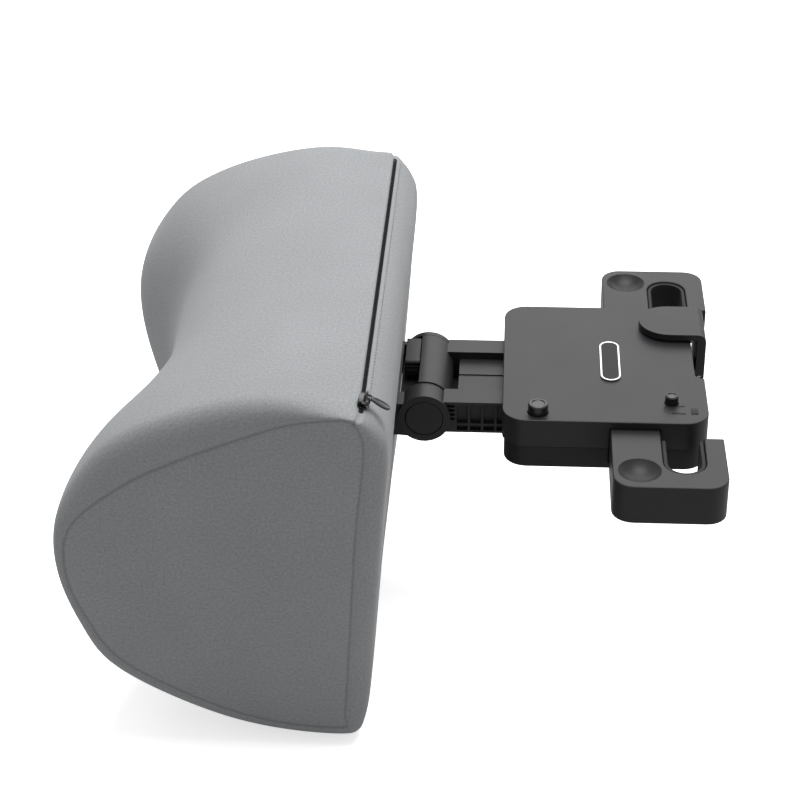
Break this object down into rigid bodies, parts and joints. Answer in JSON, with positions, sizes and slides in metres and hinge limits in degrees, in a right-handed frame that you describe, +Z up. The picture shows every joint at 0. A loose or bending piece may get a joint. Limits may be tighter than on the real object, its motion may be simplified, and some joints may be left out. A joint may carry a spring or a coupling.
{
  "type": "car seat neck pillow with clamp bracket",
  "caption": "Saddle-shaped neck pillow on a tilting hinge and sliding arm, with a housing whose paired jaws clamp the upright posts of a car seat's headrest.",
  "frame": {"origin": "midway between the axes of the two headrest posts that the jaws clamp, at the jaws' middle height", "axes": "+Z up along the posts, +X towards the back of the seat along the arm, +Y to the sitter's right, so the pillow lies towards -X"},
  "size_m": [0.3119, 0.286, 0.1977],
  "materials": {
    "black_plastic": "satin",
    "badge": "gloss",
    "liner_rubber": "matte",
    "steel": "satin",
    "gear_plastic": "matte",
    "board": "matte",
    "foam": "matte",
    "cover_cloth": "matte",
    "zip_tape": "matte",
    "zip_metal": "satin"
  },
  "bodies": {
    "housing": {"top_cover": "black_plastic", "bottom_cover": "black_plastic", "cover_screw_1": "steel", "cover_screw_2": "steel", "cover_screw_3": "steel", "cover_screw_4": "steel", "badge_plate": "badge", "lever_pin": "steel", "arm_button_spring": "steel", "jaw_button_spring": "steel"},
    "left_jaw": {"left_jaw": "black_plastic", "left_jaw_liner": "liner_rubber"},
    "right_jaw": {"right_jaw": "black_plastic", "right_jaw_liner": "liner_rubber"},
    "pinion": {"pinion": "gear_plastic"},
    "lever": {"clamp_lever": "black_plastic"},
    "arm_button": {"arm_button": "black_plastic"},
    "jaw_button": {"jaw_button": "black_plastic"},
    "arm": {"extension_arm": "black_plastic", "hinge_axle": "steel"},
    "tilt_tab": {"tilt_tab": "black_plastic"},
    "pillow": {"pillow_knuckle": "black_plastic", "back_board": "board", "board_screw_1": "steel", "board_screw_2": "steel", "board_screw_3": "steel", "board_screw_4": "steel", "foam_core": "foam", "pillow_cover": "cover_cloth", "zip_tape": "zip_tape"},
    "hinge_button": {"hinge_button": "black_plastic"},
    "zip_slider": {"zip_slider": "zip_metal"},
    "zip_puller": {"zip_puller": "zip_metal"}
  },
  "joints": [
    {"name": "left_jaw_slide", "type": "slide", "parent": "housing", "child": "left_jaw", "axis": [0, -1, 0], "range_m": [-0.005, 0.014]},
    {"name": "right_jaw_slide", "type": "slide", "parent": "housing", "child": "right_jaw", "axis": [0, 1, 0], "range_m": [-0.005, 0.014]},
    {"name": "pinion_spin", "type": "hinge", "parent": "housing", "child": "pinion", "pos_m": [-0.02215, 0, -0.006], "axis": [0, 0, 1], "range_deg": [-58, 161]},
    {"name": "clamp_lever_flip", "type": "hinge", "parent": "housing", "child": "lever", "pos_m": [0.0147, 0.0368, -0.007], "axis": [0, 1, 0], "range_deg": [0, 100]},
    {"name": "arm_button_press", "type": "slide", "parent": "housing", "child": "arm_button", "axis": [0, 0, -1], "range_m": [0, 0.0025], "stiffness_N_per_m": 400, "springref_m": -0.001, "deforming": ["arm_button_spring"]},
    {"name": "jaw_button_press", "type": "slide", "parent": "housing", "child": "jaw_button", "axis": [0, 0, -1], "range_m": [0, 0.002], "stiffness_N_per_m": 400, "springref_m": -0.001, "deforming": ["jaw_button_spring"]},
    {"name": "arm_slide", "type": "slide", "parent": "housing", "child": "arm", "axis": [1, 0, 0], "range_m": [-0.014, 0.018]},
    {"name": "tilt_tab_press", "type": "slide", "parent": "arm", "child": "tilt_tab", "axis": [0, 0, -1], "range_m": [0, 0.0025], "stiffness_N_per_m": 400, "springref_m": -0.001},
    {"name": "pillow_tilt", "type": "hinge", "parent": "arm", "child": "pillow", "pos_m": [-0.125, 0, -0.00125], "axis": [0, 1, 0], "range_deg": [-60, 7]},
    {"name": "hinge_button_press", "type": "slide", "parent": "pillow", "child": "hinge_button", "axis": [0, 1, 0], "range_m": [0, 0.002], "stiffness_N_per_m": 400, "springref_m": -0.001},
    {"name": "zip_slide", "type": "slide", "parent": "pillow", "child": "zip_slider", "axis": [0, 1, 0], "range_m": [0, 0.25]},
    {"name": "zip_puller_swing", "type": "hinge", "parent": "zip_slider", "child": "zip_puller", "pos_m": [-0.14656, -0.127, 0.06782], "axis": [0, 1, 0], "range_deg": [-140, 3]}
  ],
  "couplings": [
    {"joint": "right_jaw_slide", "follows": "left_jaw_slide", "ratio": 1},
    {"joint": "pinion_spin", "follows": "left_jaw_slide", "rad_per_m": 200}
  ]
}
